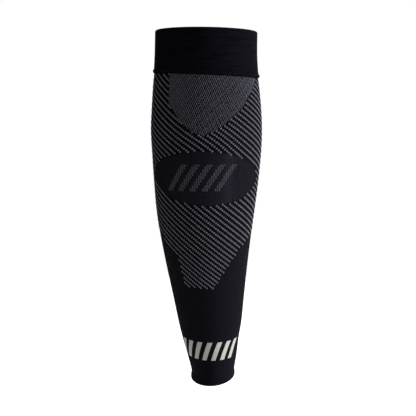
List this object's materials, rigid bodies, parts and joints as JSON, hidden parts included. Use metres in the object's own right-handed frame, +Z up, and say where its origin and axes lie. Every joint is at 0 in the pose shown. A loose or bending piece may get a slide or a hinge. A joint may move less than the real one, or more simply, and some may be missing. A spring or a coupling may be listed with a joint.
{
  "type": "arm compression sleeve",
  "caption": "Tapered knitted sleeve for the forearm: doubled cuff on top, raised diagonal ribs, a net panel, a plain oval panel, a plain lower part and a rolled hem at the wrist.",
  "frame": {"origin": "centre of the cuff's top opening, where the sleeve sits on the forearm below the elbow", "axes": "+Z up the arm towards the elbow, -Y the front with the panels, +X the side that the wrist leans to"},
  "size_m": [0.0968, 0.0934, 0.3065],
  "materials": {
    "black_knit": "fine plain knit, matt",
    "grey_ribs": "raised ribs of grey stitches on black knit",
    "grey_net": "grey net knit with small lozenge openings",
    "silver_print": "thin silver-grey transfer print, matt"
  },
  "bodies": {
    "root": {"top_cuff": "black_knit", "rib_zone": "grey_ribs", "vent_panel": "grey_net", "oval_panel": "black_knit", "lower_sleeve": "black_knit", "wrist_hem": "black_knit"}
  },
  "joints": []
}
